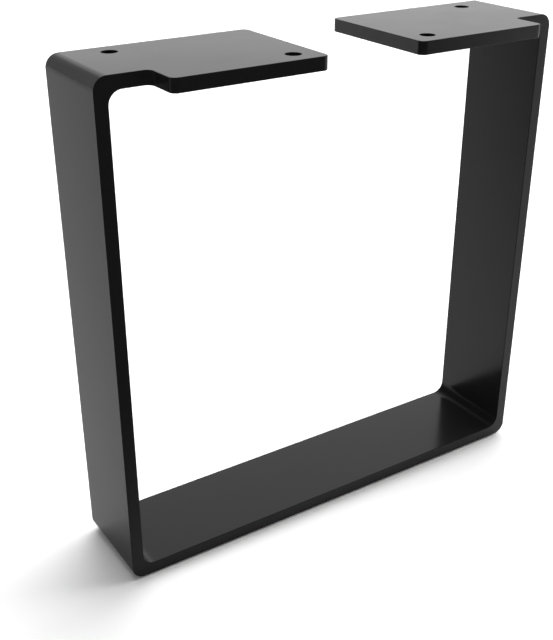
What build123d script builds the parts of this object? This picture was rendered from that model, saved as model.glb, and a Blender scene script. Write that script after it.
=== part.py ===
"""Furniture leg bent from one flat steel strip.

The strip lies on the floor, turns up into an upright at each end and turns inwards again
at the top. Its two ends are cut wider towards the front and make the screw flanges that
the furniture stands on, with a gap between them.

Millimetres. The origin is on the floor under the middle of the strip. X runs along the
foot, Z is up, and the flanges stand out towards -Y, the front.
"""
import os

from build123d import *

# Strip and outline
height = 200.0  # floor to the faces that carry the furniture
overall_width = 200.0  # across the outer faces of the two uprights
strip_width = 40.0
thickness = 5.0
outer_bend_radius = 5.0
inner_bend_radius = 5.0

# Flanges, mirror images of each other
flange_gap = 40.0  # between the free ends
front_overhang = 15.0  # how far a flange stands out in front of the strip
neck_flat = 10.0  # from the end of the inner bend to the step where the flange widens
plan_corner_radius = 2.5  # step and free corners, seen from above

# Screw holes, two in each flange
hole_diameter = 6.0
back_hole_from_bend = 10.0
back_hole_from_edge = 9.0
front_hole_from_end = 9.5
front_hole_from_edge = 8.5

edge_break = 0.2  # rounding of every cut edge of the strip and the flanges

# Places on the right-hand flange, seen from above
bend_end_x = overall_width / 2 - thickness - inner_bend_radius
step_x = bend_end_x - neck_flat
free_end_x = flange_gap / 2
back_y = strip_width / 2
front_y = -strip_width / 2 - front_overhang
back_hole = (bend_end_x - back_hole_from_bend, back_y - back_hole_from_edge)
front_hole = (free_end_x + front_hole_from_end, front_y + front_hole_from_edge)
flange_top = Plane.XY.offset(height)


def is_sharp(edge, least_angle=10):
    """Whether two faces meet at an angle along the edge, and don't run on smoothly."""
    faces = [face for face in edge.topo_parent.faces() if edge in face.edges()]
    first, second = (face.normal_at(edge @ 0.5) for face in faces)
    return first.get_angle(second) > least_angle


with BuildPart() as leg_frame:
    # The bent strip, drawn from the front and open at the top
    with BuildSketch(Plane.XZ):
        with Locations((0, height / 2)):
            RectangleRounded(overall_width, height, outer_bend_radius)
            RectangleRounded(
                overall_width - 2 * thickness,
                height - 2 * thickness,
                inner_bend_radius,
                mode=Mode.SUBTRACT,
            )
        with Locations((0, height)):
            Rectangle(flange_gap, 3 * thickness, mode=Mode.SUBTRACT)
    extrude(amount=strip_width / 2, both=True)

    # The widened ends, drawn from above
    with BuildSketch(flange_top):
        with Locations((free_end_x, back_y)):
            Rectangle(step_x - free_end_x, back_y - front_y, align=(Align.MIN, Align.MAX))
        mirror(about=Plane.YZ)
    extrude(amount=-thickness)
    fillet(leg_frame.edges().filter_by(Axis.Z).group_by(SortBy.LENGTH)[0], plan_corner_radius)

    fillet(leg_frame.edges().filter_by(is_sharp), edge_break)

    # The screw holes
    with BuildSketch(flange_top):
        with Locations(back_hole, front_hole):
            Circle(hole_diameter / 2)
        mirror(about=Plane.YZ)
    extrude(amount=-thickness, mode=Mode.SUBTRACT)

leg_frame.part.label = "leg_frame"
os.makedirs("parts", exist_ok=True)
export_step(leg_frame.part, "parts/leg_frame.step")
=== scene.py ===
"""The look of the black furniture leg: powder-coated steel on a white studio floor."""
from math import cos, pi, radians, sin

import bpy
from mathutils import Matrix, Vector

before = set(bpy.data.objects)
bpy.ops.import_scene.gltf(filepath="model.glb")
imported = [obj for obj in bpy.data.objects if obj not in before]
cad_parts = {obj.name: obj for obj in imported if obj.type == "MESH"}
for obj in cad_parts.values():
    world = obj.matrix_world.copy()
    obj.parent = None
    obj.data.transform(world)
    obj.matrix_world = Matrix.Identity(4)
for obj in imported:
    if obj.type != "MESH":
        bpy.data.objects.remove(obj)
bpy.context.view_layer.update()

# Headings are turned right from +Y, and heights are above the horizon.

# Camera
CAMERA_PLACE = (-0.22124, -0.31348, 0.27371)
CAMERA_HEADING = radians(32.777)
CAMERA_HEIGHT = radians(-26.799)
CAMERA_ROLL = radians(0.124)
CAMERA_LENS = 56.862  # mm, on a 36 mm sensor along the longer side

# Lamps: heading, height, how wide the lamp looks from the leg, and strength
KEY = (radians(52), radians(39), radians(96), 2.7)
FILL = (radians(0), radians(90), radians(170), 0.75)
BACK = (radians(65), radians(28), radians(90), 1.0)

# Softbox behind the leg, which only the gloss shows: heading, height, width, tallness and level
SOFTBOX_DISTANCE = 2.0
SOFTBOX = (radians(38), radians(25), 2.3, 1.46, 0.50)

# Floor
FLOOR_REACH = 5.0
FLOOR_DROP = 0.0008  # below the foot, for the dark line where it stands
FLOOR_WHITE = 1.5  # as the camera and the gloss see it, which leaves only the shadow in the picture
FLOOR_GREY = 0.5  # as it throws light back on the leg

# Powder coat
COAT_BLACK = 0.016
COAT_IOR = 1.22
# Each pair of levels is reached between the two values before it: of the slant of the face, which
# is 0 where it is seen square on and 1 edge on, or of the noise
GLOSS_RISE = (0.20, 0.37, 0.05, 0.70)
GLOSS_FALL = (0.48, 0.62, 1.0, 0.33)
ROUGHNESS = (0.3, 0.7, 0.17, 0.21)
ROUGHNESS_PATCHES = 35.0  # to the metre
PEEL_GRAINS = 900.0  # to the metre
PEEL_DEPTH = 0.00002
PEEL_STRENGTH = 0.25


class Nodes:
    """Short calls to add nodes to a tree and join them."""

    def __init__(self, owner):
        owner.use_nodes = True
        self.tree = owner.node_tree
        self.tree.nodes.clear()

    def add(self, kind, inputs=None, **settings):
        node = self.tree.nodes.new("ShaderNode" + kind)
        for name, value in settings.items():
            setattr(node, name, value)
        for name, value in (inputs or {}).items():
            if isinstance(value, bpy.types.NodeSocket):
                self.tree.links.new(value, node.inputs[name])
            else:
                node.inputs[name].default_value = value
        return node

    def math(self, operation, first, second):
        return self.add("Math", {0: first, 1: second}, operation=operation).outputs[0]

    def choose(self, factor, otherwise, chosen):
        mix = self.add("Mix", {0: factor, 2: otherwise, 3: chosen}, data_type="FLOAT")
        return mix.outputs[0]

    def ramp(self, value, start, end, low, high):
        """Turns value smoothly from low at start to high at end."""
        node = self.add(
            "MapRange",
            {"Value": value, "From Min": start, "From Max": end, "To Min": low, "To Max": high},
            interpolation_type="SMOOTHSTEP",
        )
        return node.outputs["Result"]


def towards(heading, height):
    return Vector((sin(heading) * cos(height), cos(heading) * cos(height), sin(height)))


def add_object(name, data):
    thing = bpy.data.objects.new(name, data)
    bpy.context.scene.collection.objects.link(thing)
    return thing


def make_camera():
    data = bpy.data.cameras.new("camera")
    data.lens = CAMERA_LENS
    data.clip_start = 0.01
    camera = add_object("camera", data)
    turn = (
        Matrix.Rotation(-CAMERA_HEADING, 4, "Z")
        @ Matrix.Rotation(pi / 2 + CAMERA_HEIGHT, 4, "X")
        @ Matrix.Rotation(-CAMERA_ROLL, 4, "Z")
    )
    camera.matrix_world = Matrix.Translation(CAMERA_PLACE) @ turn
    bpy.context.scene.camera = camera


def make_lamp(name, heading, height, width, strength):
    """A soft lamp that the gloss doesn't show."""
    data = bpy.data.lights.new(name, "SUN")
    data.angle = width
    data.energy = strength
    lamp = add_object(name, data)
    lamp.visible_glossy = False
    lamp.matrix_world = towards(heading, height).to_track_quat("Z", "Y").to_matrix().to_4x4()


def make_softbox(heading, height, width, tall, level):
    """A lit rectangle that faces the leg. It shows in the gloss and lights nothing else."""
    data = bpy.data.lights.new("softbox", "AREA")
    data.shape = "RECTANGLE"
    data.size = width
    data.size_y = tall
    data.energy = level * pi * width * tall
    box = add_object("softbox", data)
    box.visible_camera = False
    box.visible_diffuse = False
    box.visible_transmission = False
    place = towards(heading, height)
    turn = place.to_track_quat("Z", "Y").to_matrix().to_4x4()
    box.matrix_world = Matrix.Translation(place * SOFTBOX_DISTANCE) @ turn


def background_shows(n):
    """1 for what the camera and the gloss see, and 0 for what would light the leg."""
    path = n.add("LightPath")
    mirrored = n.math("MAXIMUM", path.outputs["Is Glossy Ray"], path.outputs["Is Transmission Ray"])
    return n.math("MAXIMUM", path.outputs["Is Camera Ray"], mirrored)


def make_room():
    """White all round, to the camera and in the gloss. The lamps give the light.

    Cycles would sample the world as a lamp without saying for which ray, so that is off.
    """
    world = bpy.data.worlds.new("room")
    world.cycles.sampling_method = "NONE"
    bpy.context.scene.world = world
    n = Nodes(world)
    white = n.add("Background", {"Color": (1.0, 1.0, 1.0, 1.0), "Strength": background_shows(n)})
    n.add("OutputWorld", {"Surface": white.outputs["Background"]})


def make_floor():
    """A white floor that keeps the leg's shadow, also in the gloss."""
    mesh = bpy.data.meshes.new("floor")
    signs = ((-1, -1), (1, -1), (1, 1), (-1, 1))
    corners = [(x * FLOOR_REACH, y * FLOOR_REACH, -FLOOR_DROP) for x, y in signs]
    mesh.from_pydata(corners, [], [(0, 1, 2, 3)])
    add_object("floor", mesh)

    material = bpy.data.materials.new("floor")
    n = Nodes(material)
    tone = n.choose(background_shows(n), FLOOR_GREY, FLOOR_WHITE)
    colour = n.add("CombineColor", {"Red": tone, "Green": tone, "Blue": tone})
    surface = n.add("BsdfDiffuse", {"Color": colour.outputs["Color"]})
    n.add("OutputMaterial", {"Surface": surface.outputs["BSDF"]})
    mesh.materials.append(material)


def powder_coat():
    """Half-gloss black powder coat with a fine orange peel. Its gloss grows with the slant."""
    material = bpy.data.materials.new("black_coat")
    n = Nodes(material)
    place = n.add("TexCoord").outputs["Object"]
    peel = n.add("TexNoise", {"Vector": place, "Scale": PEEL_GRAINS, "Detail": 2.0, "Roughness": 0.45})
    bump = n.add(
        "Bump", {"Height": peel.outputs["Fac"], "Strength": PEEL_STRENGTH, "Distance": PEEL_DEPTH}
    )
    patches = n.add("TexNoise", {"Vector": place, "Scale": ROUGHNESS_PATCHES, "Detail": 3.0})
    slant = n.add("LayerWeight", {"Blend": 0.5}).outputs["Facing"]
    gloss = n.math("MULTIPLY", n.ramp(slant, *GLOSS_RISE), n.ramp(slant, *GLOSS_FALL))
    coat = n.add(
        "BsdfPrincipled",
        {
            "Base Color": (COAT_BLACK, COAT_BLACK, COAT_BLACK, 1.0),
            "Roughness": n.ramp(patches.outputs["Fac"], *ROUGHNESS),
            "IOR": COAT_IOR,
            "Specular IOR Level": gloss,
            "Normal": bump.outputs["Normal"],
        },
    )
    n.add("OutputMaterial", {"Surface": coat.outputs["BSDF"]})
    return material


make_camera()
make_lamp("key", *KEY)
make_lamp("fill", *FILL)
make_lamp("back", *BACK)
make_softbox(*SOFTBOX)
make_room()
make_floor()

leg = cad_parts["leg_frame"]
leg.data.materials.clear()
leg.data.materials.append(powder_coat())

bpy.context.scene.view_settings.view_transform = "Standard"
